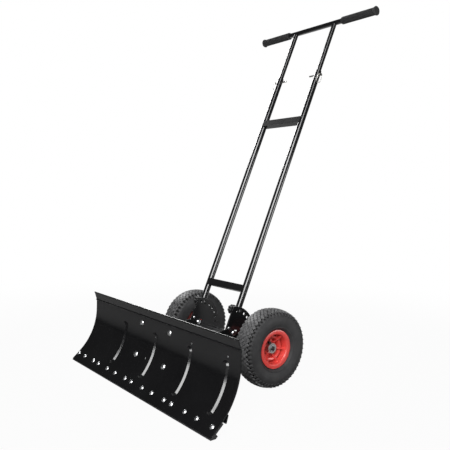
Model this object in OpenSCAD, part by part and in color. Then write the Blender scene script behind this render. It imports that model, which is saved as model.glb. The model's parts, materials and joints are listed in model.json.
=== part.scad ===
// Wheeled snow pusher: curved steel blade on two pneumatic wheels, with a
// handle that tilts on side plates and telescopes on two pinned legs.
// Origin on the floor below the middle of the axle, +Y towards the user, +Z up.

/* [Blade] */
// Width of the blade over its end flanges
blade_w = 867.4; // [840:0.2:900]
// Thickness of the blade sheet
blade_t = 3; // [2:0.5:4]
// Radius of the front of the curve
blade_r = 210; // [200:1:220]
// How far the upright front face stands ahead of the axle
blade_front = 310.5; // [305:0.5:325]
// Height of the sheet's lower edge above the floor
edge_z = 5.9; // [3:0.1:9]
// Angle that the curve sweeps down to the straight lower edge
curve_sweep = 48; // [46:0.5:50]
// Length of the straight lower edge
edge_len = 35.9; // [32:0.1:38]
// Height of the upright part of the sheet, from the curve to the crease
upright_h = 33.5; // [30:0.5:38]
// Radius of the bead pressed along the crease
bead_r = 3; // [2:0.5:4]
// Height of the lip above the crease
lip_h = 28.5; // [20:0.5:34]
// How far the lip leans forward
lip_lean = 9; // [0:0.2:12]
// Radius of the rolled top hem
hem_r = 2.2; // [1.8:0.1:4]
// Depth of the end flanges
flange_d = 5; // [4:0.5:14]

/* [Ribs] */
// Distance of the middle of each pressed rib from the blade's right end
rib_in = [61.7, 237.7, 433.7, 633.7];
// Width of a rib at its foot
rib_w = 34; // [28:1:40]
// Width of a rib at its top
rib_top_w = 20; // [14:1:24]
// Height of a rib in front of the sheet
rib_h = 5; // [3:0.5:7]
// Angle down the curve where a rib starts
rib_start = 6; // [4:0.5:12]
// Angle down the curve where a rib ends
rib_end = 40; // [34:0.5:42]

/* [Blade back] */
// Width of the stiffening bar
stiff_w = 22.6; // [18:0.2:24]
// Depth of the stiffening bar at its upper edge
stiff_t = 9; // [7:0.5:10]
// Depth of the stiffening bar at its lower edge
stiff_low_t = 18; // [11:0.5:20]
// Sheet thickness of the stiffening bar
stiff_wall = 2; // [1.5:0.5:3]
// Angle down the curve of the middle of the stiffening bar
stiff_a = 40.2; // [39.6:0.1:40.4]
// Width of a mounting strap
strap_w = 44; // [36:1:60]
// Thickness of a mounting strap
strap_t = 5; // [4:0.5:8]
// Distance of each mounting strap from the middle
strap_x = 86; // [80:1:92]
// Height of the upper strap bolts above the curve
strap_bolt_up = 8; // [6:0.5:12]
// Angle down the curve of the lower strap bolts
strap_bolt_a = 26.6; // [24:0.2:28]
// Radius of a strap bolt
strap_bolt_r = 5; // [4:0.5:6]
// Radius of a strap bolt head
strap_head_r = 10; // [8:0.5:12]

/* [Wear strip] */
// How far the wear strip runs past each end of the blade
strip_over = 1.3; // [0:0.1:3]
// Thickness of the wear strip's foot
strip_t = 13; // [10:0.5:14]
// Thickness of the wear strip's upper part, where the bolts clamp it
strip_thin = 4.5; // [4:0.5:8]
// How far below the end of the curve the wear strip's foot starts
strip_foot_d = 17.8; // [16:0.2:20]
// How far the wear strip runs up behind the sheet, above the curve's end
strip_up = 14; // [12:0.5:15]
// Length of one strip section, after which the places of the bolts repeat
section_len = 238; // [236:1:240]
// Places of the bolts along one section, from its right end
section_bolts = [20, 90, 148, 218];
// Least distance of a strip bolt from the blade's end
end_bolt = 10; // [9:0.5:14]
// Radius of a strip bolt
strip_bolt_r = 4; // [3:0.5:4.5]
// Radius of a strip bolt head
strip_head_r = 7.5; // [6:0.5:9]
// How far the strip bolts lie below the end of the curve
strip_bolt_d = 7.5; // [6:0.5:12]

/* [Chassis] */
// Thickness of the side plates
plate_t = 4; // [3:0.5:5]
// Radius of the quadrant on the side plates
quad_r = 89; // [86:0.5:92]
// How far the front edge of a side plate lies ahead of the leg's middle line
plate_front = 36; // [33:0.5:38]
// Size of the cross tube
cross_s = 40; // [36:1:42]
// Wall of the cross tube
cross_wall = 3; // [2:0.5:4]
// Length of the cross tube
cross_len = 244; // [240:1:260]
// How far the cross tube lies ahead of the axle
cross_y = 122; // [121:0.5:124]
// Height of the cross tube
cross_z = 148; // [146:0.5:152]
// Size of the square arms to the blade
arm_s = 30; // [24:1:36]
// Wall of the square arms
arm_wall = 2.5; // [2:0.5:3]
// Radius of the boss that carries the axle on a side plate
axle_boss_r = 24; // [20:0.5:26]

/* [Handle pivot] */
// How far the pivot lies ahead of the axle
pivot_y = 78; // [75:0.5:79]
// Height of the pivot above the floor
pivot_z = 169; // [167:0.5:172]
// Radius of the pivot bolt
pivot_bolt_r = 5; // [4:0.5:5.5]
// Radius of the index holes' circle
index_r = 75; // [72:0.5:77]
// Number of index holes
index_n = 7; // [2:1:7]
// Angle between index holes
index_step = 14.5; // [14:0.1:14.6]
// Radius of the index bolt
index_bolt_r = 4; // [3:0.5:4.5]
// Length of the index bolt under its head
index_bolt_len = 40; // [36:1:42]
// Outer radius of the star knob's body
knob_r = 13; // [11:0.5:14]
// Radius of a lobe of the star knob
lobe_r = 4.4; // [3:0.2:5]
// Number of lobes of the star knob
lobe_n = 8; // [6:1:8]
// Height of the star knob
knob_h = 23; // [20:0.5:24]

/* [Legs] */
// Distance of each leg's middle from the middle of the handle
leg_x = 100.4; // [98:0.2:104]
// Lean of the legs
lean = 23.16; // [20:0.02:24]
// Outer radius of the lower tubes
leg_r = 11; // [10.5:0.1:12]
// Outer radius of the upper tubes
upper_r = 8.5; // [8:0.1:9]
// Running clearance between the tubes
slide_gap = 0.1; // [0.05:0.01:0.1]
// Wall of the upper tubes
upper_wall = 1.6; // [1.2:0.1:2.2]
// Length from the pivot to the middle of the crossbar grip
handle_len = 1215; // [1190:1:1250]
// Length of the upper tubes that stands out of the lower ones
shown_len = 208.5; // [190:0.5:230]
// How far the lower tubes run past the pivot
leg_tail = 18; // [14:0.5:19]
// Size of the square crossbars between the legs
bar_s = 23.5; // [23:0.1:26]
// Wall of the square crossbars
bar_wall = 2; // [1.5:0.1:2.5]
// Distance of the lower crossbar from the pivot
low_bar = 152; // [146:1:170]
// Distance of the upper crossbar below the top of the lower tubes
high_bar = 205.5; // [195:0.5:226]

/* [Lock pins] */
// Distance of the lock pins below the top of the lower tubes
pin_down = 17.5; // [14:0.5:24]
// Radius of a lock pin
pin_r = 3.2; // [2.5:0.1:3.5]
// How far a lock pin reaches past the leg's middle on its tip side
pin_tip = 39; // [30:1:44]
// Pitch of the height holes
height_step = 25; // [20:0.5:26]
// Number of height holes in each upper tube
height_n = 7; // [2:1:7]
// Width of a pin's pull loop
loop_w = 20; // [16:0.5:24]
// Length of a pin's pull loop
loop_len = 31; // [24:0.5:36]
// Radius of the loop wire
wire_r = 0.95; // [0.8:0.05:1.1]

/* [Top bar] */
// Outer radius of the top bar
tbar_r = 9.5; // [8.8:0.1:10]
// Wall of the top bar
tbar_wall = 1.8; // [1.2:0.1:2.5]
// Half length of the top bar
tbar_half = 290; // [280:1:300]
// Length of a grip
grip_len = 154.5; // [130:0.5:160]
// Outer radius of a grip
grip_r = 13.75; // [12.5:0.25:15]
// Radius of a grip's end flange
grip_flange_r = 16.5; // [15.5:0.25:18]
// Length of a grip's flared end
grip_flare = 15; // [10:1:20]

/* [Wheels] */
// Distance of each wheel's middle from the middle of the axle
wheel_x = 213.4; // [208:0.2:218]
// Outer radius of the tyre
tyre_r = 130; // [125:0.5:132]
// Width of the tyre
tyre_w = 82; // [76:0.5:86]
// Number of shoulder lugs round each side of a tyre
lug_n = 52; // [40:2:56]
// Depth of the notches between the shoulder lugs
lug_h = 3; // [1.5:0.5:3.5]
// Width of the notches between the shoulder lugs
lug_gap = 5; // [3:0.5:6]
// Outer radius of the rim's flange
rim_r = 64; // [60:0.5:66]
// Distance of the rim's outer face from the wheel's middle
rim_half = 29.5; // [28:0.5:31]
// Radius of the axle
axle_r = 7.5; // [6:0.5:8]
// Outer radius of the hub tube
hub_r = 16.5; // [15:0.5:18]
// How far the hub tube reaches outwards from the wheel's middle
hub_out = 11.6; // [10:0.2:16]
// How far the hub tube reaches inwards from the wheel's middle
hub_in = 48.4; // [46:0.2:50]
// How far the axle stands out of the hub tube
axle_proud = 6; // [5:0.2:8]
// Number of the rim's radial ribs
spoke_n = 6; // [4:1:8]

/* [Hidden] */
$fn = 64;

// clearances
seat = 0.05;
air = 0.3;
run_fit = 0.06;

// a flat that runs on from a curve laps over it, a hair further back
lap = 3;
step = 0.1;
// how far what is welded on stays back from a sheet's own end
inset = 0.2;

// blade
curve_y = -blade_front - blade_r;
curve_top_z = edge_z + blade_r * sin(curve_sweep) + edge_len * cos(curve_sweep);
back_r = blade_r + blade_t;
behind_r = back_r + step + seat;
crease_z = curve_top_z + upright_h;
hem_z = crease_z + lip_h;
rib_x = [for (d = rib_in) if (d + rib_w < blade_w) blade_w / 2 - d];
flange_end = curve_sweep - atan((strip_up + 1) / back_r);
strap_out = back_r + strap_t;
strap_nut_s = 2 * strap_bolt_r + 6;
strap_bolt_z = curve_top_z + strap_bolt_up;
strap_top = crease_z - 7.5;
strap_low_a = 33;
// the gusset below an arm ends above the lower strap nut
gusset_t = 5;
gusset_len = 80;
gusset_z = curve_top_z - strap_out * sin(strap_bolt_a) + strap_nut_s / 2 / cos(30) + 3;
gusset_y = curve_y + sqrt(pow(back_r + strap_t / 2, 2) - pow(curve_top_z - gusset_z, 2)) - 3;

// wear strip: its foot is cut level with the floor
strip_len = blade_w + 2 * strip_over;
strip_in = behind_r;
strip_out = strip_in + strip_t;
strip_thin_out = strip_in + strip_thin;
function floor_at(d) = (d * sin(curve_sweep) - curve_top_z) / cos(curve_sweep);
bolts_each = len(section_bolts);
function bolt_in(i) = floor(i / bolts_each) * section_len + section_bolts[i % bolts_each];
bolts_most = ceil(blade_w / section_len) * bolts_each;
strip_bolts_n = len([for (i = [0 : bolts_most - 1]) if (bolt_in(i) < blade_w) i]);
function bolt_x(i) = blade_w / 2 - min(bolt_in(i), blade_w - end_bolt);

// chassis
cross_front = -cross_y - cross_s / 2;
plate_gap = 0.6;
plate_in = leg_r + plate_gap;
plate_out = plate_in + plate_t;
quad_low = 15.5;
plate_low = 20;
plate_cut = 12;
stop_d = 12;
stop_up = 25;
stop_r = 3;

// handle
tube_top = handle_len - shown_len;
pin_s = tube_top - pin_down;
leg_bore = upper_r + slide_gap;
upper_tail = pin_s - (height_n - 1) * height_step - 26;
washer_t = 1.6;
knob_in = leg_r + 0.3 + washer_t + 0.1;
knob_bore = 14;

// lock pins
head_in = leg_r + 0.3;
head_len = 9;
head_mid = head_in + head_len / 2;
head_r = 5;

// wheels
axle_z = tyre_r;
axle_end = wheel_x + hub_out + axle_proud;
bead_seat_r = 50;
disc_out = 6;
disc_in = -4;
boss_out = -2.4;
spoke_a = 20;
bearing_w = 11;
bearing_r = hub_r - 2.5;
lug_slope = -38;
valve_a = -39;
valve_r = 27;
valve_z = disc_out + 3.5;

// local frame on the blade's curve: x outwards from its centre, y up, z along the blade
module on_curve(a = 0) {
    translate([0, curve_y, curve_top_z]) rotate([90, 0, 90]) rotate([0, 0, -a]) children();
}

// local frame on the handle: origin at the pivot, z up the legs
module on_leg(x = 0, s = 0) {
    translate([x, -pivot_y, pivot_z]) rotate([-lean, 0, 0]) translate([0, 0, s]) children();
}

module rod_x(r, x0, x1) {
    translate([x0, 0, 0]) rotate([0, 90, 0]) cylinder(r = r, h = x1 - x0);
}

module hex_x(af, x0, x1) {
    translate([x0, 0, 0]) rotate([0, 90, 0]) cylinder(r = af / 2 / cos(30), h = x1 - x0, $fn = 6);
}

// low dome that stands on the plane z = 0
module dome(r, h) {
    ball = (r * r + h * h) / (2 * h);
    intersection() {
        translate([0, 0, h - ball]) sphere(r = ball);
        cylinder(r = r, h = h);
    }
}

module sector(r0, r1, a0, a1, len) {
    rotate([0, 0, -a1]) rotate_extrude(angle = a1 - a0)
        translate([r0, -len / 2]) square([r1 - r0, len]);
}

// one pressed rib: a band along the curve with a cone at each end
module rib_form(low, high, foot, top, a0, a1) {
    rotate([0, 0, -a1]) rotate_extrude(angle = a1 - a0)
        polygon([[low, -foot / 2], [low, foot / 2], [high, top / 2], [high, -top / 2]]);
    for (end = [a0, a1])
        rotate([0, 0, -end]) translate([low, 0, 0]) rotate([0, -90, 0])
            cylinder(r1 = foot / 2 - 0.3, r2 = top / 2 - 0.3, h = low - high - 0.15);
}

module blade_holes() {
    for (i = [0 : strip_bolts_n - 1])
        on_curve(curve_sweep) translate([blade_r - 5, -strip_bolt_d, bolt_x(i)]) rotate([0, 90, 0])
            cylinder(r = strip_bolt_r + air, h = blade_t + 10);
    strap_holes();
}

module strap_holes() {
    for (x = [-strap_x, strap_x]) {
        on_curve(strap_bolt_a) translate([blade_r - 5, 0, x]) rotate([0, 90, 0])
            cylinder(r = strap_bolt_r + air, h = 20);
        translate([x, -blade_front - 5, strap_bolt_z]) rotate([-90, 0, 0])
            cylinder(r = strap_bolt_r + air, h = 20);
    }
}

rivet_places = [[-22, 26.6], [207, -2], [380, -4]];

module blade() {
    lean_a = atan(lip_lean / lip_h);
    color("#1b1b1d") difference() {
        union() {
            on_curve() sector(blade_r, back_r, 0, curve_sweep, blade_w);
            on_curve(curve_sweep) translate([blade_r + step, -edge_len, inset - blade_w / 2])
                cube([blade_t, edge_len + lap, blade_w - 2 * inset]);
            translate([inset - blade_w / 2, step - blade_front, curve_top_z - lap])
                cube([blade_w - 2 * inset, blade_t, crease_z - curve_top_z + lap]);
            translate([0, -blade_front + 0.4, crease_z]) rod_x(bead_r, -blade_w / 2, blade_w / 2);
            translate([0, -blade_front, crease_z]) rotate([lean_a, 0, 0])
                translate([inset - blade_w / 2, 0, 0])
                    cube([blade_w - 2 * inset, blade_t, lip_h / cos(lean_a)]);
            translate([0, -blade_front - lip_lean + blade_t / 2, hem_z])
                rod_x(hem_r, -blade_w / 2, blade_w / 2);
            for (side = [-1, 1]) {
                on_curve() translate([0, 0, side * ((blade_w - blade_t) / 2 - 2 * inset)])
                    sector(blade_r + 1, blade_r + flange_d, 0, flange_end, blade_t);
                translate([side * ((blade_w - blade_t) / 2 - 3 * inset) - blade_t / 2, 1 - blade_front,
                    curve_top_z - lap])
                    cube([blade_t, flange_d - 1 + step, crease_z - curve_top_z + lap]);
            }
            for (x = rib_x) on_curve() translate([0, 0, x])
                rib_form(blade_r + 1.5, blade_r - rib_h, rib_w, rib_top_w, rib_start, rib_end);
        }
        for (x = rib_x) on_curve() translate([0, 0, x])
            rib_form(back_r + 1, back_r - rib_h, rib_w - 2, rib_top_w - 4, rib_start, rib_end);
        blade_holes();
    }
}

// the stiffening bar's section, a channel that the sheet closes; d draws it in
function stiff_section(d) = [[d > 0 ? -1 : 0, d - stiff_w / 2], [stiff_low_t - 3 - d / 2, d - stiff_w / 2],
    [stiff_low_t - d, d + 2 - stiff_w / 2], [stiff_t - d, stiff_w / 2 - d],
    [d > 0 ? -1 : 0, stiff_w / 2 - d]];

module rear_stiffener() {
    len = blade_w - 2 * blade_t - 6 * inset - 2 * seat;
    foot = sqrt(pow(back_r, 2) - pow(stiff_w / 2 - stiff_wall, 2)) + seat;
    color("#1b1b1d") on_curve(stiff_a) translate([foot, 0, -len / 2]) difference() {
        linear_extrude(len) polygon(stiff_section(0));
        translate([0, 0, -1]) linear_extrude(len + 2) polygon(stiff_section(stiff_wall));
    }
}

module wear_strip() {
    color("#202022") difference() {
        on_curve(curve_sweep) translate([0, 0, -strip_len / 2]) linear_extrude(strip_len)
            polygon([[strip_in, strip_up], [strip_thin_out, strip_up], [strip_thin_out, -strip_foot_d],
                [strip_out, -strip_foot_d], [strip_out, floor_at(strip_out)],
                [strip_in + 1.5, floor_at(strip_in + 1.5)], [strip_in, floor_at(strip_in) + 2.5]]);
        for (i = [0 : strip_bolts_n - 1])
            on_curve(curve_sweep) translate([blade_r - 5, -strip_bolt_d, bolt_x(i)]) rotate([0, 90, 0])
                cylinder(r = strip_bolt_r + air, h = strip_t + 20);
    }
}

module strip_bolts() {
    color("#cfd1d2") for (i = [0 : strip_bolts_n - 1])
        on_curve(curve_sweep) translate([blade_r - seat, -strip_bolt_d, bolt_x(i)]) {
            rotate([0, -90, 0]) dome(strip_head_r, 4);
            rod_x(strip_bolt_r, -0.5, blade_t + strip_thin + 9);
        }
}

module strip_nuts() {
    color("#cfd1d2") for (i = [0 : strip_bolts_n - 1])
        on_curve(curve_sweep) translate([strip_thin_out + seat, -strip_bolt_d, bolt_x(i)]) difference() {
            hex_x(2 * strip_bolt_r + 5, 0, 7);
            rod_x(strip_bolt_r + run_fit, -1, 8);
        }
}

// places of the strap bolts: children start at the sheet's front and run along +x
module at_strap_bolts() {
    for (x = [-strap_x, strap_x]) {
        on_curve(strap_bolt_a) translate([blade_r, 0, x]) children();
        translate([x, -blade_front, strap_bolt_z]) rotate([0, 0, 90]) children();
    }
}

module strap_bolts() {
    color("#cfd1d2") at_strap_bolts() {
        translate([-air, 0, 0]) rotate([0, -90, 0]) dome(strap_head_r, 5.5);
        rod_x(strap_bolt_r, -air - 0.5, blade_t + strap_t + 10);
    }
}

module strap_nuts() {
    color("#cfd1d2") at_strap_bolts() translate([blade_t + strap_t + 2 * seat + 0.1, 0, 0]) difference() {
        hex_x(strap_nut_s, 0, 8);
        rod_x(strap_bolt_r + run_fit, -1, 9);
    }
}

module small_rivets() {
    color("#cfd1d2") for (place = rivet_places)
        on_curve(max(place[1], 0)) translate([blade_r - seat, place[1] < 0 ? -place[1] : 0, place[0]])
            rotate([0, -90, 0]) dome(3, 1.2);
}

module blade_arm(x) {
    rear = cross_front - seat;
    color("#1b1b1d") difference() {
        union() {
            on_curve() translate([0, 0, x]) sector(behind_r, strap_out, 0, strap_low_a, strap_w);
            translate([x + inset - strap_w / 2, -blade_front + blade_t + seat + step, curve_top_z - lap])
                cube([strap_w - 2 * inset, strap_t - seat, strap_top - curve_top_z + lap]);
            difference() {
                union() {
                    translate([x - arm_s / 2, -blade_front - 2, cross_z - arm_s / 2])
                        cube([arm_s, rear + blade_front + 2, arm_s]);
                    translate([x - gusset_t / 2, 0, 0]) rotate([90, 0, 90]) linear_extrude(gusset_t)
                        polygon([[gusset_y, gusset_z], [gusset_len - blade_front, cross_z - arm_s / 2 + 1],
                            [-blade_front - 2, cross_z - arm_s / 2 + 1]]);
                }
                translate([x - arm_s / 2 + arm_wall, -blade_front + blade_t + strap_t + 1,
                    cross_z - arm_s / 2 + arm_wall])
                    cube([arm_s - 2 * arm_wall, blade_front, arm_s - 2 * arm_wall]);
                on_curve() translate([0, 0, x])
                    cylinder(r = back_r + strap_t / 2, h = 2 * strap_w, center = true);
            }
        }
        strap_holes();
    }
}

module blade_arm_left() { blade_arm(-strap_x); }

module blade_arm_right() { blade_arm(strap_x); }

module cross_tube() {
    bore = cross_s - 2 * cross_wall;
    color("#1b1b1d") translate([0, -cross_y, cross_z]) difference() {
        cube([cross_len, cross_s, cross_s], center = true);
        cube([cross_len + 2, bore, bore], center = true);
    }
}

module cross_tube_caps() {
    fill = cross_s - 2 * cross_wall - 2 * seat;
    color("#141415") for (side = [-1, 1]) translate([side * (cross_len / 2 + seat), -cross_y, cross_z])
        rotate([0, side * 90, 0]) {
            translate([-cross_s / 2, -cross_s / 2, 0]) cube([cross_s, cross_s, 3]);
            translate([-fill / 2, -fill / 2, -10]) cube([fill, fill, 11]);
        }
}

module side_plate_outline() {
    dy = sin(lean);
    dz = cos(lean);
    // front edge: parallel to the leg
    fy = -pivot_y - plate_front * dz;
    fz = pivot_z + plate_front * dy;
    front_h = sqrt(pow(quad_r, 2) - pow(plate_front, 2)) - 1;
    corner = [fy + 6 * dy, fz + 6 * dz];
    union() {
        intersection() {
            translate([-pivot_y, pivot_z]) circle(r = quad_r, $fn = 96);
            polygon([corner, corner + 2 * quad_r * [dy, dz], corner + 3 * quad_r * [1, 1],
                corner + 3 * quad_r * [cos(quad_low), -sin(quad_low)]]);
        }
        polygon([[fy + front_h * dy, fz + front_h * dz], [fy, fz], [cross_front, fz - 4],
            [cross_front, cross_z - cross_s / 2 - plate_cut],
            [cross_front + plate_cut, cross_z - cross_s / 2 - plate_low],
            [0, axle_z - axle_boss_r], [0, axle_z], [-pivot_y, pivot_z + 10]]);
        translate([0, axle_z]) circle(r = axle_boss_r);
        polygon([[0, axle_z - 10], [6, axle_z + 20], [-8, pivot_z + 20], [-pivot_y, pivot_z]]);
    }
}

module side_plate(x) {
    color("#18181a") difference() {
        translate([x + plate_in, 0, 0]) rotate([90, 0, 90]) linear_extrude(plate_t) side_plate_outline();
        // notch for the cross tube
        translate([x, cross_front - 1, cross_z - cross_s / 2 - seat])
            cube([40, cross_s + 1 + seat, cross_s + 2 * seat]);
        translate([0, -pivot_y, pivot_z]) rod_x(pivot_bolt_r + air, x, x + 40);
        translate([0, 0, axle_z]) rod_x(axle_r + seat, x, x + 40);
        for (i = [0 : index_n - 1]) translate([0, -pivot_y, pivot_z])
            rotate([-(lean + (i - 1) * index_step), 0, 0]) translate([0, 0, index_r])
                rod_x(index_bolt_r + air, x, x + 40);
        on_stop() rod_x(stop_r + air, x, x + 40);
    }
}

module on_stop() {
    on_leg(0, stop_up - 15) translate([0, -(plate_front - stop_d), 0]) children();
}

module side_plate_left() { side_plate(-leg_x); }

module side_plate_right() { side_plate(leg_x); }

module stop_screws() {
    color("#cfd1d2") for (x = [-leg_x, leg_x]) on_stop() translate([x, 0, 0]) {
        translate([plate_out + seat, 0, 0]) rotate([0, 90, 0]) dome(5, 3);
        rod_x(stop_r, plate_in - 2, plate_out + 1);
    }
}

module pivot_bolts() {
    color("#cfd1d2") for (x = [-leg_x, leg_x]) translate([x, -pivot_y, pivot_z]) {
        intersection() {
            hex_x(17, plate_out + seat, plate_out + 6.4);
            translate([plate_out + seat, 0, 0]) rotate([0, 90, 0]) dome(10.6, 9);
        }
        rod_x(pivot_bolt_r, -leg_r - 12, plate_out + 1);
    }
}

module pivot_nuts() {
    color("#cfd1d2") for (x = [-leg_x, leg_x])
        translate([x - leg_r - 10.6, -pivot_y, pivot_z]) difference() {
            hex_x(16, 0, 10);
            rod_x(pivot_bolt_r + run_fit, -1, 11);
        }
}

module axle() {
    color("#141415") translate([0, 0, axle_z]) difference() {
        union() {
            rod_x(axle_r, -axle_end + 1, axle_end - 1);
            for (side = [0, 180]) rotate([0, 0, side]) translate([axle_end - 1, 0, 0]) rotate([0, 90, 0])
                cylinder(r1 = axle_r, r2 = axle_r - 1, h = 1);
        }
        for (side = [0, 180]) rotate([0, 0, side]) translate([axle_end - 3, 0, 0]) rotate([0, 90, 0])
            cylinder(r = 1.6, h = 4);
        for (side = [0, 180]) rotate([0, 0, side]) translate([wheel_x + hub_out + 0.5, 0, 0])
            rotate([0, 90, 0]) difference() {
                cylinder(r = axle_r + 1, h = 1.4);
                translate([0, 0, -1]) cylinder(r = axle_r - 0.8, h = 4);
            }
    }
}

module axle_spacers() {
    color("#b9bbbd") translate([0, 0, axle_z])
        for (span = [[leg_x + plate_out + seat, wheel_x - hub_in - air],
            [-leg_x + plate_out + seat, leg_x + plate_in - seat],
            [-wheel_x + hub_in + air, -leg_x + plate_in - seat]]) difference() {
            rod_x(axle_r + 3.5, span[0], span[1]);
            rod_x(axle_r + seat, span[0] - 1, span[1] + 1);
        }
}

module axle_clips() {
    color("#cfd1d2") translate([0, 0, axle_z]) for (side = [0, 180]) rotate([0, 0, side])
        translate([wheel_x + hub_out + 0.6, 0, 0]) rotate([0, 90, 0]) difference() {
            cylinder(r = axle_r + 3.2, h = 1.2);
            translate([0, 0, -1]) cylinder(r = axle_r - 0.7, h = 4);
            translate([axle_r - 1, -3, -1]) cube([8, 6, 4]);
        }
}

// half section of the tyre: [distance from the axle, distance from the wheel's middle]
module tyre_section() {
    half = tyre_w / 2;
    difference() {
        polygon(both_ways([[bead_seat_r + air, rim_half - 6.2], [bead_seat_r + 3.2, rim_half - 3.3],
            [rim_r + 0.6, rim_half - 3.3], [rim_r + 6, half - 7], [rim_r + 18, half - 1],
            [tyre_r - 33, half], [tyre_r - 20, half - 1], [tyre_r - 12, half - 4.5],
            [tyre_r - 4, half - 13], [tyre_r - 0.8, half - 27], [tyre_r, half - 36]]));
        polygon(both_ways(cavity(0)));
    }
}

// a half outline and its mirror image, as one closed outline
function both_ways(p) = concat(p, [for (i = [len(p) - 1 : -1 : 0]) [p[i][0], -p[i][1]]]);

// the tyre's hollow, drawn in by d
function cavity(d) = [[bead_seat_r - (d > 0 ? -0.4 : 1), 16 - 3 * d], [rim_r + 6 + 0.2 * d, 24 - d],
    [rim_r + 24 + 0.2 * d, 33 - d], [tyre_r - 20 - 0.5 * d, 33 - d], [tyre_r - 12 - d, 24 - 0.5 * d],
    [tyre_r - 9 - d, 10 - 0.2 * d]];

module wheel_at(side) {
    translate([side * wheel_x, 0, axle_z]) rotate([0, side * 90, 0]) children();
}

// one notch between two shoulder lugs, cut square to the shoulder's slope
module shoulder_notch() {
    translate([tyre_r - 12, 0, tyre_w / 2 - 4.5]) rotate([0, lug_slope, 0])
        translate([-lug_h, -lug_gap / 2, -8]) cube([3 * lug_h, lug_gap, 17]);
}

module tyre(side) {
    color("#2d2d2f") wheel_at(side) difference() {
        rotate_extrude($fn = 96) tyre_section();
        for (i = [0 : lug_n - 1], face = [0, 1]) mirror([0, 0, face])
            rotate([0, 0, (i + face / 2) * 360 / lug_n]) shoulder_notch();
    }
}

module inner_tube(side) {
    color("#111112") wheel_at(side) rotate_extrude($fn = 96) difference() {
        polygon(both_ways(cavity(0.4)));
        polygon(both_ways([for (p = cavity(2.6)) [max(p[0], bead_seat_r + 3), p[1]]]));
    }
}

// the rim's section, [radius, distance outwards]; z points out of the vehicle
module rim(side) {
    color("#d8473f") wheel_at(side) difference() {
        union() {
            rotate_extrude($fn = 96) polygon([[rim_r, rim_half - 3], [rim_r, rim_half - 0.8],
                [rim_r - 0.8, rim_half], [bead_seat_r + 1.5, rim_half], [bead_seat_r - 2.5, rim_half - 5],
                [bead_seat_r - 3, disc_out], [37.5, disc_out], [35.5, disc_in], [hub_r + 9, disc_in],
                [hub_r + 8.5, boss_out], [hub_r + seat, boss_out], [hub_r + seat, boss_out - 9.6],
                [hub_r + 6, boss_out - 9.6], [hub_r + 7, disc_in - 3], [38.5, disc_in - 3],
                [40.5, disc_out - 3], [bead_seat_r - 3, disc_out - 3], [bead_seat_r - 3.5, -rim_half + 4],
                [52, -rim_half], [rim_r, -rim_half], [rim_r, -rim_half + 3], [53, -rim_half + 3],
                [bead_seat_r, -rim_half + 6], [bead_seat_r, rim_half - 6], [53, rim_half - 3]]);
            for (i = [0 : spoke_n - 1]) rotate([0, 0, spoke_a + i * 360 / spoke_n]) rotate([90, 0, 0])
                translate([0, 0, -1.6]) linear_extrude(3.2)
                    polygon([[hub_r + 3, disc_in - 1], [hub_r + 3, boss_out + 5], [36, disc_out + 7],
                        [bead_seat_r - 1.5, rim_half - 7.5], [bead_seat_r - 1.5, disc_out - 1],
                        [39, disc_out - 1], [36.8, disc_in - 1]]);
        }
        valve_place() cylinder(r = 3.2, h = 20);
    }
}

// runs inwards from the bead seat towards the hub
module valve_place() {
    rotate([0, 0, 180 - valve_a]) translate([bead_seat_r + 8, 0, valve_z]) rotate([0, -90, 0]) children();
}

module hub(side) {
    color("#d5d7d8") wheel_at(side) difference() {
        translate([0, 0, -hub_in]) cylinder(r = hub_r, h = hub_in + hub_out);
        translate([0, 0, -hub_in - 1]) cylinder(r = axle_r + 3, h = hub_in + hub_out + 2);
        translate([0, 0, -hub_in - 1]) cylinder(r = bearing_r, h = bearing_w + 1);
        translate([0, 0, hub_out - bearing_w]) cylinder(r = bearing_r, h = bearing_w + 1);
    }
}

module bearings(side) {
    color("#101011") wheel_at(side) for (z = [-hub_in + 0.2, hub_out - bearing_w + 0.2])
        translate([0, 0, z]) difference() {
            cylinder(r = bearing_r - seat, h = bearing_w - 0.4);
            translate([0, 0, -1]) cylinder(r = axle_r + run_fit, h = bearing_w + 2);
        }
}

module valve(side) {
    color("#1a1a1b") wheel_at(side) {
        valve_place() translate([0, 0, 7.8]) cylinder(r = 3, h = bead_seat_r + 0.2 - valve_r);
        rotate([0, 0, 180 - valve_a]) translate([valve_r, 0, valve_z]) {
            sphere(r = 3);
            cylinder(r = 3, h = 4);
        }
    }
}

module valve_cap(side) {
    color("#0e0e0f") wheel_at(side) rotate([0, 0, 180 - valve_a])
        translate([valve_r, 0, valve_z + 4 + seat]) cylinder(r = 4.6, h = 6.4);
}

module tyre_left() { tyre(-1); }

module tyre_right() { tyre(1); }

module inner_tube_left() { inner_tube(-1); }

module inner_tube_right() { inner_tube(1); }

module rim_left() { rim(-1); }

module rim_right() { rim(1); }

module hub_left() { hub(-1); }

module hub_right() { hub(1); }

module bearings_left() { bearings(-1); }

module bearings_right() { bearings(1); }

module valve_left() { valve(-1); }

module valve_right() { valve(1); }

module valve_cap_left() { valve_cap(-1); }

module valve_cap_right() { valve_cap(1); }

module leg_tube(x) {
    color("#1b1b1d") on_leg(x) difference() {
        translate([0, 0, -leg_tail]) cylinder(r = leg_r, h = tube_top + leg_tail);
        translate([0, 0, -leg_tail - 1]) cylinder(r = leg_bore, h = tube_top + leg_tail + 2);
        rod_x(pivot_bolt_r + run_fit, -20, 20);
        translate([0, 0, index_r]) rod_x(index_bolt_r + air, -20, 20);
        translate([0, 0, pin_s]) rod_x(pin_r + air, -20, 20);
    }
}

module leg_tube_left() { leg_tube(-leg_x); }

module leg_tube_right() { leg_tube(leg_x); }

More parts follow.
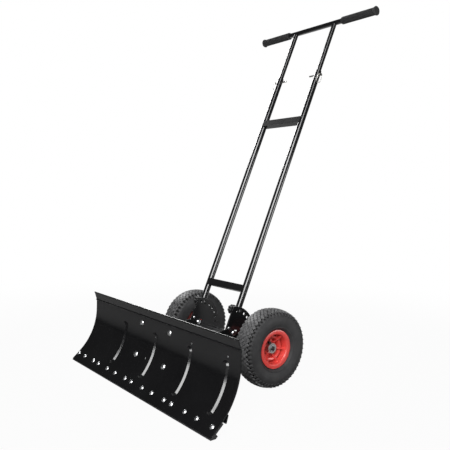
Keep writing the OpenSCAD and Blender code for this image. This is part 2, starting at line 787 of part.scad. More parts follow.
module crossbar(s) {
    color("#1b1b1d") on_leg(0, s) difference() {
        translate([-leg_x, -bar_s / 2, -bar_s / 2]) cube([2 * leg_x, bar_s, bar_s]);
        translate([-leg_x - 1, -bar_s / 2 + bar_wall, -bar_s / 2 + bar_wall])
            cube([2 * leg_x + 2, bar_s - 2 * bar_wall, bar_s - 2 * bar_wall]);
        for (x = [-leg_x, leg_x]) translate([x, 0, 0])
            cylinder(r = leg_r + seat, h = 2 * bar_s, center = true);
    }
}

module lower_crossbar() { crossbar(low_bar); }

module upper_crossbar() { crossbar(tube_top - high_bar); }

module leg_plugs() {
    color("#141415") for (x = [-leg_x, leg_x]) on_leg(x, -leg_tail - seat) {
        translate([0, 0, -2]) cylinder(r = leg_r - 0.4, h = 2);
        translate([0, 0, -1]) cylinder(r = leg_bore - seat, h = 11);
    }
}

module index_bolt(x) {
    color("#2a2a2c") on_leg(x, index_r) {
        translate([plate_out + air, 0, 0]) rotate([0, 90, 0]) dome(8, 4.6);
        rod_x(index_bolt_r, plate_out + air - index_bolt_len, plate_out + air + 0.5);
    }
}

module index_bolt_left() { index_bolt(-leg_x); }

module index_bolt_right() { index_bolt(leg_x); }

module knob_washer(x) {
    color("#cfd1d2") on_leg(x, index_r) difference() {
        rod_x(8.5, -knob_in + 0.1, -knob_in + 0.1 + washer_t);
        rod_x(index_bolt_r + run_fit, -knob_in - 1, 0);
    }
}

module knob_washer_left() { knob_washer(-leg_x); }

module knob_washer_right() { knob_washer(leg_x); }

module tilt_knob(x) {
    color("#121213") on_leg(x, index_r) translate([-knob_in, 0, 0]) rotate([0, -90, 0]) difference() {
        union() {
            cylinder(r = 9.5, h = knob_h);
            translate([0, 0, 6]) cylinder(r = knob_r, h = knob_h - 7);
            translate([0, 0, knob_h - 1]) cylinder(r1 = knob_r, r2 = knob_r - 1, h = 1);
            for (i = [0 : lobe_n - 1]) rotate([0, 0, i * 360 / lobe_n]) translate([knob_r - 0.4, 0, 6.6])
                cylinder(r = lobe_r, h = knob_h - 8.2);
        }
        translate([0, 0, -1]) cylinder(r = index_bolt_r + run_fit, h = knob_bore + 1);
    }
}

module tilt_knob_left() { tilt_knob(-leg_x); }

module tilt_knob_right() { tilt_knob(leg_x); }

module upper_tube(x) {
    color("#1b1b1d") on_leg(x) difference() {
        translate([0, 0, upper_tail]) cylinder(r = upper_r, h = handle_len - upper_tail);
        translate([0, 0, upper_tail - 1])
            cylinder(r = upper_r - upper_wall, h = handle_len - upper_tail + 2);
        translate([0, 0, handle_len]) rod_x(tbar_r + seat, -20, 20);
        translate([-20, -20, handle_len]) cube([40, 40, 20]);
        for (i = [0 : height_n - 1]) translate([0, 0, pin_s - i * height_step]) rod_x(pin_r + air, -20, 20);
    }
}

module upper_tube_left() { upper_tube(-leg_x); }

module upper_tube_right() { upper_tube(leg_x); }

module top_bar() {
    color("#1b1b1d") on_leg(0, handle_len) difference() {
        rod_x(tbar_r, -tbar_half, tbar_half);
        rod_x(tbar_r - tbar_wall, -tbar_half - 1, tbar_half + 1);
    }
}

module grip(side) {
    tip = tbar_half + 3.5;
    start = tip - grip_len;
    color("#242425") on_leg(0, handle_len) rotate([0, side * 90, 0]) difference() {
        rotate_extrude() polygon([[0, start], [grip_r - 0.6, start], [grip_r, start + 0.6],
            [grip_r, tip - grip_flare], [grip_flange_r - 0.8, tip - 6], [grip_flange_r, tip - 4.5],
            [grip_flange_r, tip - 3], [grip_flange_r - 0.8, tip - 1.2], [grip_flange_r - 3, tip],
            [0, tip]]);
        translate([0, 0, start - 1]) cylinder(r = tbar_r + seat, h = tbar_half - start + 1 + seat);
    }
}

module grip_left() { grip(-1); }

module grip_right() { grip(1); }

// a pin with its head on the outer side of its leg
module lock_pin(side) {
    color("#c9cac6") on_leg(side * leg_x, pin_s) rotate([0, 0, side > 0 ? 0 : 180]) difference() {
        union() {
            rod_x(pin_r, -pin_tip + 1.5, head_in + 0.5);
            translate([-pin_tip + 1.5, 0, 0]) rotate([0, -90, 0])
                cylinder(r1 = pin_r, r2 = pin_r - 1.5, h = 1.5);
            rod_x(head_r, head_in, head_in + head_len);
        }
        translate([head_mid, 0, 0]) rotate([90, 0, 0])
            cylinder(r = wire_r + run_fit, h = 20, center = true);
    }
}

module lock_pin_left() { lock_pin(-1); }

module lock_pin_right() { lock_pin(1); }

loop_c = 4;

module pin_loop(side) {
    half = loop_w / 2;
    side_len = loop_len - loop_c - half;
    color("#c9cac6") on_leg(side * (leg_x + head_mid), pin_s) {
        rotate([90, 0, 0]) cylinder(r = wire_r, h = loop_w - 2 * loop_c, center = true);
        for (turn = [0, 180]) rotate([0, 0, turn]) {
            translate([0, half - loop_c, -loop_c]) rotate([0, -90, 0]) rotate_extrude(angle = 90)
                translate([loop_c, 0]) circle(r = wire_r, $fn = 24);
            translate([0, half, -loop_c - side_len]) cylinder(r = wire_r, h = side_len);
            translate([0, 0, -loop_c - side_len]) rotate([0, -90, 0]) rotate([0, 0, 90])
                rotate_extrude(angle = 90) translate([half, 0]) circle(r = wire_r, $fn = 24);
        }
    }
}

module pin_loop_left() { pin_loop(-1); }

module pin_loop_right() { pin_loop(1); }

blade();
rear_stiffener();
wear_strip();
strip_bolts();
strip_nuts();
strap_bolts();
strap_nuts();
small_rivets();
blade_arm_left();
blade_arm_right();
cross_tube();
cross_tube_caps();
side_plate_left();
side_plate_right();
stop_screws();
pivot_bolts();
pivot_nuts();
axle();
axle_spacers();
axle_clips();
tyre_left();
inner_tube_left();
rim_left();
hub_left();
bearings_left();
valve_left();
valve_cap_left();
tyre_right();
inner_tube_right();
rim_right();
hub_right();
bearings_right();
valve_right();
valve_cap_right();
leg_tube_left();
leg_tube_right();
lower_crossbar();
upper_crossbar();
leg_plugs();
index_bolt_left();
index_bolt_right();
knob_washer_left();
knob_washer_right();
tilt_knob_left();
tilt_knob_right();
upper_tube_left();
upper_tube_right();
top_bar();
grip_left();
grip_right();
lock_pin_left();
lock_pin_right();
pin_loop_left();
pin_loop_right();
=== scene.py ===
import bpy
import bmesh
import json
import math
from mathutils import Matrix, Vector


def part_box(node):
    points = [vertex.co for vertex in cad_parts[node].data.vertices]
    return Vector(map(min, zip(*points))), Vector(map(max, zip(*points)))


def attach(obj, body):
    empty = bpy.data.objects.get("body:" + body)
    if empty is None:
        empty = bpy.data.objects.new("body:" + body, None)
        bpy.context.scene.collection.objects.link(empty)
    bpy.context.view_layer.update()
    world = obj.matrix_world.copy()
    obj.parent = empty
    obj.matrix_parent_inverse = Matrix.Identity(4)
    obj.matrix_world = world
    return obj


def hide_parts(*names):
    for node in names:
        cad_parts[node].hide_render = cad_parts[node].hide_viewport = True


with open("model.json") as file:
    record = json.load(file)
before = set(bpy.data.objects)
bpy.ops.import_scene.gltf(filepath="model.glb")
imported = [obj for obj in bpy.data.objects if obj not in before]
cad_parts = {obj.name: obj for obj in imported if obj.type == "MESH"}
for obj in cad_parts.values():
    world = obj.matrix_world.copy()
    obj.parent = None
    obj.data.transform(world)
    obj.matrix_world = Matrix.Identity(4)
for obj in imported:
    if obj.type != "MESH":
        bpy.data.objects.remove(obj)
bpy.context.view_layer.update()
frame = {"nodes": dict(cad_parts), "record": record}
nodes = frame["nodes"]
print("frame loaded:", len(nodes), "nodes")

joints = {joint["name"]: joint for joint in frame["record"]["behaviour"]["joints"]}
axleHeight = joints["wheel_right"]["pos_m"][2]


# small helpers used all through the file

def deselectAll():
    if bpy.context.object and bpy.context.object.mode != "OBJECT":
        bpy.ops.object.mode_set(mode="OBJECT")
    bpy.ops.object.select_all(action="DESELECT")


def pickOnly(piece):
    deselectAll()
    piece.select_set(True)
    bpy.context.view_layer.objects.active = piece


def boxMiddle(node):
    low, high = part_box(node)
    return (Vector(low) + Vector(high)) / 2


# shader groups that the finishes share

def newGroup(name, inputs, outputs):
    group = bpy.data.node_groups.new(name, "ShaderNodeTree")
    for label, kind, value in inputs:
        socket = group.interface.new_socket(label, in_out="INPUT", socket_type=kind)
        if value is not None:
            socket.default_value = value
    for label, kind in outputs:
        group.interface.new_socket(label, in_out="OUTPUT", socket_type=kind)
    start = group.nodes.new("NodeGroupInput")
    end = group.nodes.new("NodeGroupOutput")
    start.location, end.location = (-900, 0), (500, 0)
    return group, start, end


def addNode(tree, kind, place, **settings):
    made = tree.nodes.new(kind)
    made.location = place
    for name, value in settings.items():
        if name in made.inputs.keys():
            made.inputs[name].default_value = value
        else:
            setattr(made, name, value)
    return made


def makeSurfaceGrain():
    # fine unevenness of a sprayed, moulded or plated skin
    group, start, end = newGroup("surface grain",
        [("Vector", "NodeSocketVector", None), ("Size", "NodeSocketFloat", 600.0),
         ("Low", "NodeSocketFloat", 0.2), ("High", "NodeSocketFloat", 0.4)],
        [("Roughness", "NodeSocketFloat"), ("Height", "NodeSocketFloat")])
    fine = addNode(group, "ShaderNodeTexNoise", (-650, 150), Detail=3.0, Roughness=0.55)
    broad = addNode(group, "ShaderNodeTexNoise", (-650, -150), Scale=14.0, Detail=2.0)
    blend = addNode(group, "ShaderNodeMath", (-400, 0), operation="ADD")
    half = addNode(group, "ShaderNodeMath", (-220, 0), operation="MULTIPLY")
    half.inputs[1].default_value = 0.5
    spread = addNode(group, "ShaderNodeMapRange", (0, 0))
    spread.inputs["From Min"].default_value = 0.35
    spread.inputs["From Max"].default_value = 0.65
    link = group.links.new
    link(start.outputs["Vector"], fine.inputs["Vector"])
    link(start.outputs["Vector"], broad.inputs["Vector"])
    link(start.outputs["Size"], fine.inputs["Scale"])
    link(fine.outputs["Fac"], blend.inputs[0])
    link(broad.outputs["Fac"], blend.inputs[1])
    link(blend.outputs[0], half.inputs[0])
    link(half.outputs[0], spread.inputs["Value"])
    link(start.outputs["Low"], spread.inputs["To Min"])
    link(start.outputs["High"], spread.inputs["To Max"])
    link(spread.outputs["Result"], end.inputs["Roughness"])
    link(fine.outputs["Fac"], end.inputs["Height"])
    return group


def makeToneShift():
    # slow change of tone over a surface, as paint and rubber have
    group, start, end = newGroup("tone shift",
        [("Vector", "NodeSocketVector", None), ("Size", "NodeSocketFloat", 9.0),
         ("Deep", "NodeSocketColor", (0.01, 0.01, 0.01, 1)),
         ("Light", "NodeSocketColor", (0.02, 0.02, 0.02, 1))],
        [("Color", "NodeSocketColor")])
    cloud = addNode(group, "ShaderNodeTexNoise", (-600, 0), Detail=4.0, Roughness=0.6)
    spread = addNode(group, "ShaderNodeMapRange", (-350, 0))
    spread.inputs["From Min"].default_value = 0.3
    spread.inputs["From Max"].default_value = 0.7
    mix = addNode(group, "ShaderNodeMix", (0, 0), data_type="RGBA")
    link = group.links.new
    link(start.outputs["Vector"], cloud.inputs["Vector"])
    link(start.outputs["Size"], cloud.inputs["Scale"])
    link(cloud.outputs["Fac"], spread.inputs["Value"])
    link(spread.outputs["Result"], mix.inputs[0])
    link(start.outputs["Deep"], mix.inputs[6])
    link(start.outputs["Light"], mix.inputs[7])
    link(mix.outputs[2], end.inputs["Color"])
    return group


def makeScuffs():
    # thin stretched scratches and rubbed spots, 0 where clean
    group, start, end = newGroup("scuffs",
        [("Vector", "NodeSocketVector", None), ("Size", "NodeSocketFloat", 60.0),
         ("Cover", "NodeSocketFloat", 0.62), ("Amount", "NodeSocketFloat", 0.5)],
        [("Mask", "NodeSocketFloat")])
    stretch = addNode(group, "ShaderNodeMapping", (-750, 0))
    stretch.inputs["Scale"].default_value = (0.25, 1.0, 1.6)
    stretch.inputs["Rotation"].default_value = (0.4, 0.3, 0.7)
    noise = addNode(group, "ShaderNodeTexNoise", (-500, 0), Detail=6.0, Roughness=0.7)
    cut = addNode(group, "ShaderNodeMapRange", (-250, 0))
    cut.inputs["From Max"].default_value = 0.85
    scale = addNode(group, "ShaderNodeMath", (0, 0), operation="MULTIPLY")
    link = group.links.new
    link(start.outputs["Vector"], stretch.inputs["Vector"])
    link(stretch.outputs["Vector"], noise.inputs["Vector"])
    link(start.outputs["Size"], noise.inputs["Scale"])
    link(noise.outputs["Fac"], cut.inputs["Value"])
    link(start.outputs["Cover"], cut.inputs["From Min"])
    link(cut.outputs["Result"], scale.inputs[0])
    link(start.outputs["Amount"], scale.inputs[1])
    link(scale.outputs[0], end.inputs["Mask"])
    return group


grainGroup = makeSurfaceGrain()
toneGroup = makeToneShift()
scuffGroup = makeScuffs()


def makeFinish(name, deep, light, rough, grain, bump, scuff=0.0, scuffColor=(0.08, 0.08, 0.08), metal=0.0,
               coat=0.0, specular=0.5, tone=9.0, stretch=(1, 1, 1)):
    finish = bpy.data.materials.new(name)
    finish.use_nodes = True
    finish.diffuse_color = (*light, 1)
    tree = finish.node_tree
    shader = tree.nodes["Principled BSDF"]
    shader.inputs["Metallic"].default_value = metal
    shader.inputs["Coat Weight"].default_value = coat
    shader.inputs["Coat Roughness"].default_value = 0.12
    shader.inputs["Specular IOR Level"].default_value = specular
    coords = addNode(tree, "ShaderNodeTexCoord", (-1300, 0))
    mapping = addNode(tree, "ShaderNodeMapping", (-1100, 0))
    mapping.inputs["Scale"].default_value = stretch
    toneBox = addNode(tree, "ShaderNodeGroup", (-800, 250), node_tree=toneGroup)
    toneBox.inputs["Size"].default_value = tone
    toneBox.inputs["Deep"].default_value = (*deep, 1)
    toneBox.inputs["Light"].default_value = (*light, 1)
    grainBox = addNode(tree, "ShaderNodeGroup", (-800, -50), node_tree=grainGroup)
    grainBox.inputs["Size"].default_value = grain
    grainBox.inputs["Low"].default_value = rough[0]
    grainBox.inputs["High"].default_value = rough[1]
    bumpNode = addNode(tree, "ShaderNodeBump", (-300, -250), Strength=0.6, Distance=bump)
    link = tree.links.new
    link(coords.outputs["Object"], mapping.inputs["Vector"])
    link(mapping.outputs["Vector"], toneBox.inputs["Vector"])
    link(mapping.outputs["Vector"], grainBox.inputs["Vector"])
    link(grainBox.outputs["Height"], bumpNode.inputs["Height"])
    link(bumpNode.outputs["Normal"], shader.inputs["Normal"])
    link(grainBox.outputs["Roughness"], shader.inputs["Roughness"])
    if scuff:
        scuffBox = addNode(tree, "ShaderNodeGroup", (-800, -350), node_tree=scuffGroup)
        scuffBox.inputs["Amount"].default_value = scuff
        wear = addNode(tree, "ShaderNodeMix", (-400, 200), data_type="RGBA")
        wear.inputs[7].default_value = (*scuffColor, 1)
        link(mapping.outputs["Vector"], scuffBox.inputs["Vector"])
        link(scuffBox.outputs["Mask"], wear.inputs[0])
        link(toneBox.outputs["Color"], wear.inputs[6])
        link(wear.outputs[2], shader.inputs["Base Color"])
    else:
        link(toneBox.outputs["Color"], shader.inputs["Base Color"])
    return finish


blackCoat = makeFinish("gloss black powder coat", (0.005, 0.005, 0.0055), (0.0075, 0.0075, 0.008),
    (0.1, 0.16), 700, 0.00005, scuff=0.25, scuffColor=(0.03, 0.03, 0.03), coat=0.3, specular=0.7)
barCoat = makeFinish("dull black coat of the square bars", (0.006, 0.006, 0.0065), (0.01, 0.01, 0.0105),
    (0.3, 0.42), 600, 0.00012, scuff=0.25, scuffColor=(0.03, 0.03, 0.03), specular=0.12)
bladeCoat = makeFinish("blade powder coat", (0.003, 0.003, 0.0034), (0.005, 0.005, 0.0055),
    (0.11, 0.18), 650, 0.00006, scuff=0.3, scuffColor=(0.014, 0.014, 0.0145), coat=0.15)
stripPolymer = makeFinish("black wear polymer", (0.012, 0.012, 0.013), (0.02, 0.02, 0.021),
    (0.5, 0.7), 420, 0.0003, scuff=0.5, scuffColor=(0.06, 0.06, 0.06), specular=0.4)
blackPlastic = makeFinish("moulded black plastic", (0.008, 0.008, 0.0085), (0.014, 0.014, 0.0145),
    (0.38, 0.5), 900, 0.0001, specular=0.45)
# lighter copy of the tyre rubber for the tread blocks: painted highlight on the lit block tops
treadLitRubber = makeFinish("tread rubber lightened as painted highlight", (0.04, 0.04, 0.041), (0.13, 0.13, 0.132),
    (0.4, 0.55), 500, 0.0002, scuff=0.5, scuffColor=(0.1, 0.1, 0.1), specular=0.4, tone=90)
lugRubber = makeFinish("lug rubber", (0.026, 0.026, 0.027), (0.045, 0.045, 0.046),
    (0.5, 0.65), 500, 0.0002, specular=0.3, tone=40)
# near-black copy of the tyre rubber for the crown between the tread blocks: painted shade in the grooves
grooveShadeRubber = makeFinish("groove rubber darkened as painted shade", (0.003, 0.003, 0.003), (0.005, 0.005, 0.005),
    (0.6, 0.75), 500, 0.0002, specular=0.15)
tyreRubber = makeFinish("tyre rubber", (0.02, 0.02, 0.021), (0.036, 0.036, 0.037),
    (0.55, 0.7), 500, 0.0002, scuff=0.5, scuffColor=(0.07, 0.07, 0.07), specular=0.3, tone=24)
tubeRubber = makeFinish("inner tube rubber", (0.01, 0.01, 0.01), (0.016, 0.016, 0.016),
    (0.5, 0.65), 300, 0.0002, specular=0.35)
# darker copy of the red paint for the rim's inboard faces: painted shade where the dish lies in shadow
rimShadeRed = makeFinish("red paint darkened inside as painted shade", (0.05, 0.004, 0.0035), (0.08, 0.006, 0.005),
    (0.5, 0.7), 500, 0.0001, specular=0.3)
redPaint = makeFinish("gloss red paint", (0.5, 0.035, 0.03), (0.6, 0.055, 0.045),
    (0.22, 0.36), 600, 0.0001, scuff=0.25, scuffColor=(0.36, 0.03, 0.025), coat=0.25)
zincPlate = makeFinish("zinc plate", (0.55, 0.56, 0.57), (0.68, 0.69, 0.7),
    (0.25, 0.42), 380, 0.00008, scuff=0.5, scuffColor=(0.42, 0.42, 0.43), metal=1.0, tone=60)
dullZinc = makeFinish("dull zinc tube", (0.1, 0.1, 0.102), (0.17, 0.17, 0.174),
    (0.35, 0.5), 380, 0.00008, scuff=0.4, scuffColor=(0.25, 0.25, 0.25), metal=1.0, tone=60)
satinNickel = makeFinish("satin nickel", (0.7, 0.69, 0.65), (0.82, 0.81, 0.77),
    (0.2, 0.34), 420, 0.00006, metal=1.0, tone=70)
blackOxide = makeFinish("black oxide steel", (0.006, 0.006, 0.0065), (0.012, 0.012, 0.0125),
    (0.32, 0.46), 500, 0.00008, scuff=0.3, scuffColor=(0.05, 0.05, 0.05), specular=0.4)
bearingSteel = makeFinish("bearing steel", (0.3, 0.3, 0.31), (0.42, 0.42, 0.43),
    (0.28, 0.4), 600, 0.00005, metal=1.0)
gripRubber = makeFinish("grip rubber", (0.014, 0.014, 0.0145), (0.022, 0.022, 0.023),
    (0.55, 0.7), 800, 0.00015, specular=0.4, tone=40)

finishOf = {"blade": bladeCoat, "wear_strip": stripPolymer, "axle": blackOxide, "axle_spacers": dullZinc}
for barNode in ("rear_stiffener", "cross_tube", "blade_arm_left", "blade_arm_right",
                "lower_crossbar", "upper_crossbar"):
    finishOf[barNode] = barCoat
zincNodes = ("strip_bolts", "strip_nuts", "strap_bolts", "strap_nuts", "small_rivets", "stop_screws",
             "pivot_bolts", "pivot_nuts", "axle_clips", "knob_washer")
finishByStart = [(zincNodes, zincPlate), (("lock_pin", "pin_loop", "hub_"), satinNickel),
    (("bearings",), bearingSteel), (("tyre",), tyreRubber), (("inner_tube",), tubeRubber),
    (("rim",), redPaint), (("grip",), gripRubber), (("index_bolt",), blackOxide),
    (("cross_tube_caps", "leg_plugs", "tilt_knob", "valve"), blackPlastic)]


def finishFor(node):
    if node in finishOf:
        return finishOf[node]
    for starts, finish in finishByStart:
        if node.startswith(starts):
            return finish
    return blackCoat


for name, part in nodes.items():
    part.data.materials.clear()
    part.data.materials.append(finishFor(name))
print("finishes made:", len(bpy.data.materials))


# helpers that shape the pieces

def outlineLoop(name, corners):
    # a flat closed outline: a circle primitive whose corners are moved to their places
    deselectAll()
    bpy.ops.mesh.primitive_circle_add(vertices=len(corners), radius=0.05)
    piece = bpy.context.object
    piece.name = name
    for vertex, corner in zip(piece.data.vertices, corners):
        vertex.co = corner
    return piece


def cleanSolid(piece):
    pickOnly(piece)
    bpy.ops.object.mode_set(mode="EDIT")
    bpy.ops.mesh.select_all(action="SELECT")
    bpy.ops.mesh.remove_doubles(threshold=0.000001)
    bpy.ops.mesh.normals_make_consistent(inside=False)
    bpy.ops.object.mode_set(mode="OBJECT")


def spinOutline(name, corners, steps, centre, axis):
    piece = outlineLoop(name, corners)
    bpy.ops.object.mode_set(mode="EDIT")
    bpy.ops.mesh.select_all(action="SELECT")
    bpy.ops.mesh.spin(steps=steps, angle=2 * math.pi, center=centre, axis=axis)
    bpy.ops.object.mode_set(mode="OBJECT")
    cleanSolid(piece)
    return piece


def plateFromOutline(name, corners, push):
    # a flat plate: outline filled and extruded by the vector push
    piece = outlineLoop(name, corners)
    bpy.ops.object.mode_set(mode="EDIT")
    bpy.ops.mesh.select_all(action="SELECT")
    bpy.ops.mesh.edge_face_add()
    bpy.ops.mesh.extrude_region_move(TRANSFORM_OT_translate={"value": push})
    bpy.ops.object.mode_set(mode="OBJECT")
    cleanSolid(piece)
    return piece


def pickFaces(piece, wanted):
    # in edit mode, selects the faces for which wanted(face) holds
    shape = bmesh.from_edit_mesh(piece.data)
    for face in shape.faces:
        face.select = wanted(face)
    bmesh.update_edit_mesh(piece.data)


def growFaces(steps):
    # extrudes the picked end face in steps of (rise, scale)
    for rise, scale in steps:
        bpy.ops.mesh.extrude_region_move(TRANSFORM_OT_translate={"value": (0, 0, rise)})
        bpy.ops.transform.resize(value=(scale, scale, 1), center_override=(0, 0, 0))


def bevelEdges(piece, width, segments=2, angle=30):
    pickOnly(piece)
    bevel = piece.modifiers.new("soft edges", "BEVEL")
    bevel.width = width
    bevel.segments = segments
    bevel.limit_method = "ANGLE"
    bevel.angle_limit = math.radians(angle)
    bpy.ops.object.modifier_apply(modifier=bevel.name)


def smoothShade(piece, angle):
    pickOnly(piece)
    bpy.ops.object.shade_smooth_by_angle(angle=math.radians(angle))


def copyPiece(piece, name, matrix):
    twin = piece.copy()
    twin.data = piece.data.copy()
    twin.name = name
    twin.data.transform(matrix)
    bpy.context.scene.collection.objects.link(twin)
    return twin


def joinPieces(pieces, name):
    deselectAll()
    for piece in pieces:
        piece.select_set(True)
    bpy.context.view_layer.objects.active = pieces[0]
    bpy.ops.object.join()
    pieces[0].name = name
    return pieces[0]


def finishPiece(piece, finish, body, replaced=()):
    if not piece.data.materials:
        piece.data.materials.append(finish)
    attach(piece, body)
    if replaced:
        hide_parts(*replaced)


# wheels: tyre with its tread, and dished rim

tread = {"pitches": 52, "rows": 7, "rowGap": 0.0085, "depth": 0.0042, "grooveFrom": 0.1155,
         "turnSteps": 104, "smoothBelow": 32,
         "blockWide": 0.0148, "blockLong": 0.0134, "blockTop": (0.84, 0.84), "blockSoft": 0.0004,
         "lugLong": 0.0145, "lugWide": 0.0088, "lugTop": (0.88, 0.84), "lugSoft": 0.0008,
         "lugTaper": (1.12, 0.9), "lugOffset": 0.0350, "lugRadius": 0.1178, "lugTilt": 56}
# the crown's half section: distance from the tyre's middle, radius
tyreCrown = [(0.0, 0.1299), (0.005, 0.1299), (0.014, 0.1291), (0.028, 0.1259), (0.0365, 0.1179),
             (0.04, 0.1099)]
wheelOut = boxMiddle("tyre_right").x
axlePoint = Vector((0, 0, axleHeight))


def crownAt(offset):
    # outer radius and slope of the tyre's crown at a distance from its middle; the rows end inside it
    for (x0, r0), (x1, r1) in zip(tyreCrown, tyreCrown[1:]):
        if offset <= x1:
            part = (offset - x0) / (x1 - x0)
            return r0 + part * (r1 - r0), math.atan2(r0 - r1, x1 - x0)


def turnAbout(point, angle, axis):
    return Matrix.Translation(point) @ Matrix.Rotation(angle, 4, axis) @ Matrix.Translation(-point)


def aboutAxle(angle):
    return turnAbout(axlePoint, angle, "X")


def narrowTop(rubber, top, soft):
    # draws in the top face of a tread block and softens its rim
    bpy.ops.object.mode_set(mode="EDIT")
    pickFaces(rubber, lambda face: face.normal.z > 0.9)
    bpy.ops.transform.resize(value=(*top, 1))
    bpy.ops.mesh.bevel(offset=soft, segments=1, affect="EDGES")
    bpy.ops.object.mode_set(mode="OBJECT")


def makeTreadBlock():
    # one lozenge of the crown, lying flat with its foot at the origin
    deselectAll()
    bpy.ops.mesh.primitive_cylinder_add(vertices=4, radius=0.5, depth=1.0)
    block = bpy.context.object
    block.name = "tread_block"
    for vertex in block.data.vertices:
        x, y, z = vertex.co
        vertex.co = (x * tread["blockWide"], y * tread["blockLong"], (z + 0.5) * tread["depth"])
    narrowTop(block, tread["blockTop"], tread["blockSoft"])
    return block


def makeShoulderLug():
    # one lug of the shoulder, a little wider at its inner end
    deselectAll()
    bpy.ops.mesh.primitive_cube_add(size=1.0)
    lug = bpy.context.object
    lug.name = "shoulder_lug"
    for vertex in lug.data.vertices:
        x, y, z = vertex.co
        wide = tread["lugWide"] * tread["lugTaper"][0 if x < 0 else 1]
        vertex.co = (x * tread["lugLong"], y * wide, (z + 0.5) * tread["depth"])
    narrowTop(lug, tread["lugTop"], tread["lugSoft"])
    return lug


def makeCarcass():
    # half an outline of (radius, distance from the middle), mirrored and spun round the axle
    half = [(0.0503, 0.0255), (0.061, 0.0262), (0.0646, 0.0266), (0.0668, 0.0292), (0.0690, 0.0330),
            (0.0730, 0.0362), (0.0745, 0.0356), (0.0800, 0.0386), (0.0870, 0.0400), (0.0950, 0.0405),
            (0.1010, 0.0402), (0.1030, 0.0394), (0.1080, 0.0382), (0.1125, 0.0362), (0.1165, 0.0330),
            (0.1195, 0.0295), (0.1222, 0.0240), (0.1240, 0.0180), (0.1252, 0.0090), (0.1256, 0.0)]
    inner = [(0.1180, 0.0), (0.1150, 0.0200), (0.1080, 0.0310), (0.0880, 0.0320), (0.0700, 0.0230),
             (0.0503, 0.0140)]
    outline = half + [(r, -x) for r, x in reversed(half[:-1])]
    outline += [(r, -x) for r, x in reversed(inner)] + inner[1:]
    corners = [(wheelOut + x, 0, axleHeight + r) for r, x in outline]
    carcass = spinOutline("carcass", corners, tread["turnSteps"], axlePoint, (1, 0, 0))
    # crown faces between the tread blocks take the near-black copy of the rubber, painted shade in the
    # grooves
    for finish in (tyreRubber, grooveShadeRubber):
        carcass.data.materials.append(finish)
    for face in carcass.data.polygons:
        face.material_index = int((face.center - axlePoint).yz.length > tread["grooveFrom"])
    print("tyre carcass spun:", len(carcass.data.polygons), "faces")
    return carcass


def makeTreadSegment():
    # one pitch of the tread: a block in each row of the crown and a lug on both shoulders
    block, lug = makeTreadBlock(), makeShoulderLug()
    # the blocks take the lightened copy of the rubber, a painted highlight
    block.data.materials.append(treadLitRubber)
    lug.data.materials.append(lugRubber)
    pitch = 2 * math.pi / tread["pitches"]
    axleSeat = Matrix.Translation((wheelOut, 0, axleHeight))
    sink = Matrix.Translation((0, 0, -tread["depth"]))
    segment = []
    for row in range(tread["rows"]):
        offset = (row - (tread["rows"] - 1) / 2) * tread["rowGap"]
        radius, slope = crownAt(abs(offset))
        tilt = math.copysign(slope, offset) if offset else 0
        seat = axleSeat @ Matrix.Translation((offset, 0, radius)) @ Matrix.Rotation(tilt, 4, "Y") @ sink
        segment.append(copyPiece(block, "block", aboutAxle(pitch / 2 * (row % 2)) @ seat))
    for side in (1, -1):
        tilt = Matrix.Rotation(math.radians(tread["lugTilt"]), 4, "Y")
        seat = Matrix.Translation((tread["lugOffset"], 0, tread["lugRadius"])) @ tilt @ sink
        if side < 0:
            seat = Matrix.Rotation(math.pi, 4, "Z") @ seat
        segment.append(copyPiece(lug, "lug", aboutAxle(pitch / 2 if side > 0 else 0) @ axleSeat @ seat))
    for spare in (block, lug):
        bpy.data.objects.remove(spare)
    return joinPieces(segment, "tread_segment")


def makeTyre():
    carcass, segment = makeCarcass(), makeTreadSegment()
    turns = [index * 2 * math.pi / tread["pitches"] for index in range(tread["pitches"])]
    ring = [copyPiece(segment, "tread_%02d" % index, aboutAxle(turn)) for index, turn in enumerate(turns)]
    bpy.data.objects.remove(segment)
    tyre = joinPieces([carcass] + ring, "tyre_dressed_right")
    smoothShade(tyre, tread["smoothBelow"])
    print("tread laid:", len(tyre.data.polygons), "faces")
    return tyre


